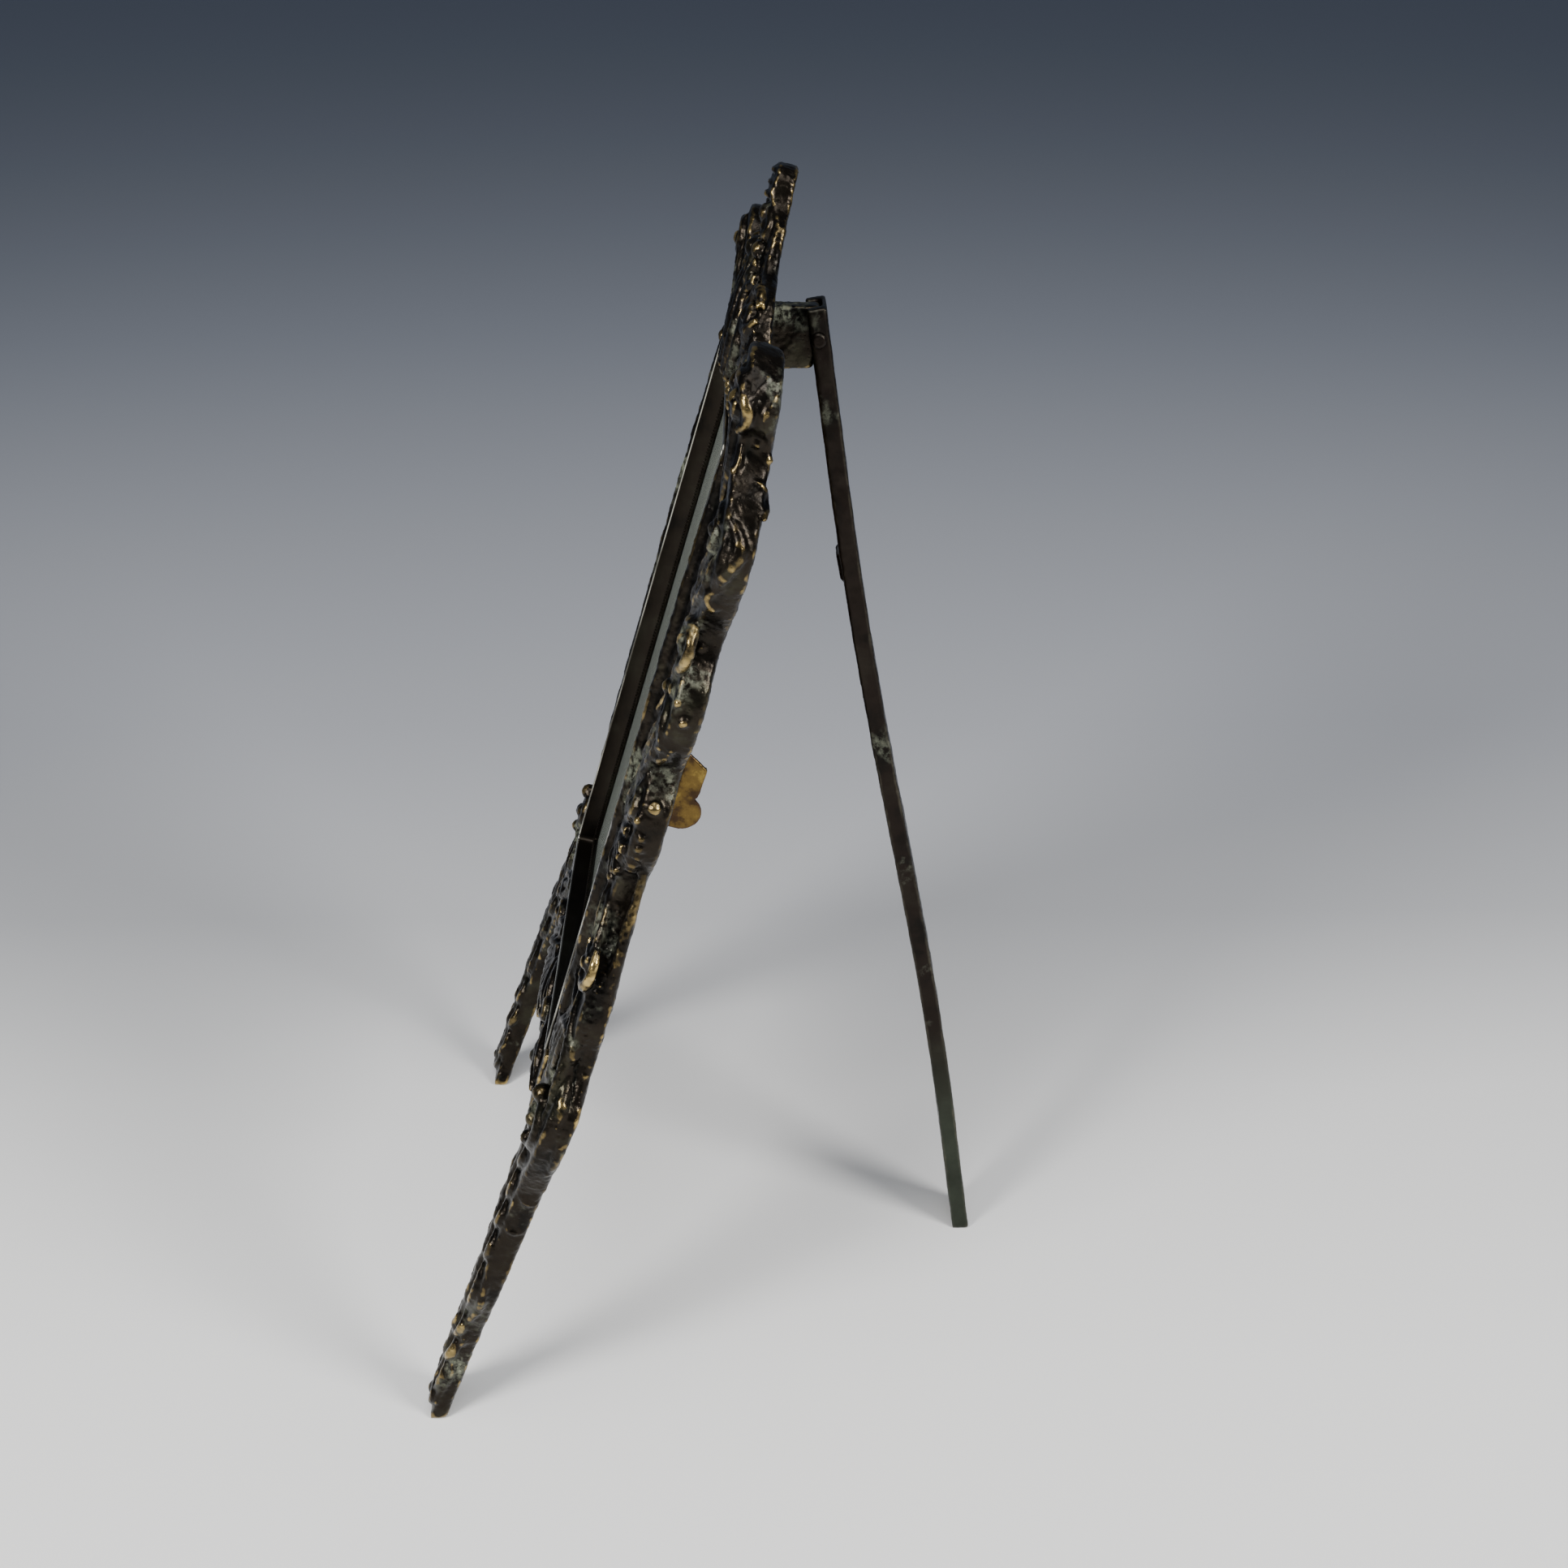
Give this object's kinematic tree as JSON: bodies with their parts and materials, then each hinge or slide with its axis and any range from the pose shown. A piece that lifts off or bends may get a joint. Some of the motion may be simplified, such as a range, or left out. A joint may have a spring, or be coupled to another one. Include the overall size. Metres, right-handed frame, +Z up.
{
  "type": "easel-backed photograph frame",
  "caption": "Cast brass rococo easel frame: deep rim with glass, card and board, scrolled border on legs, crest with a hinge lug, turn clips and a folding back strut.",
  "frame": {"origin": "on the floor plane, centred between the front of the feet and the back of the strut's foot, on the frame's centre line", "axes": "+Z up; the picture faces -Y and leans back towards +Y; +X is across the frame, to the right when seen from the front"},
  "size_m": [0.1778, 0.1537, 0.3147],
  "materials": {
    "casting": "dark brown-black patina on cast brass, rubbed to gold on the high relief, green-grey verdigris in the hollows",
    "rim": "smooth dark patina with a bright worn front edge",
    "strut": "smooth red-brown black patina with verdigris near the foot",
    "fittings": "bright sheet brass, browned at the edges",
    "glass": "old clear glass",
    "card": "blank aged grey card, matt",
    "board": "thin stained wooden back board"
  },
  "bodies": {
    "frame": {"rim_box": "rim", "left_side_casting": "casting", "right_side_casting": "casting", "crest_casting": "casting", "apron_casting": "casting", "glass_pane": "glass", "photo_card": "card", "back_board": "board", "left_clip_rivet": "fittings", "right_clip_rivet": "fittings"},
    "strut": {"strut": "strut", "hinge_pin": "fittings"},
    "left_clip": {"left_turn_clip": "fittings"},
    "right_clip": {"right_turn_clip": "fittings"}
  },
  "joints": [
    {"name": "strut_hinge", "type": "hinge", "parent": "frame", "child": "strut", "pos_m": [0, 0.02872, 0.27453], "axis": [1, 0, 0], "range_deg": [-26, 0]},
    {"name": "left_clip_turn", "type": "hinge", "parent": "frame", "child": "left_clip", "pos_m": [-0.0605, -0.00794, 0.17879], "axis": [0, -0.9578, 0.2874], "range_deg": [0, 90]},
    {"name": "right_clip_turn", "type": "hinge", "parent": "frame", "child": "right_clip", "pos_m": [0.0605, -0.00794, 0.17879], "axis": [0, 0.9578, -0.2874], "range_deg": [0, 90]}
  ]
}
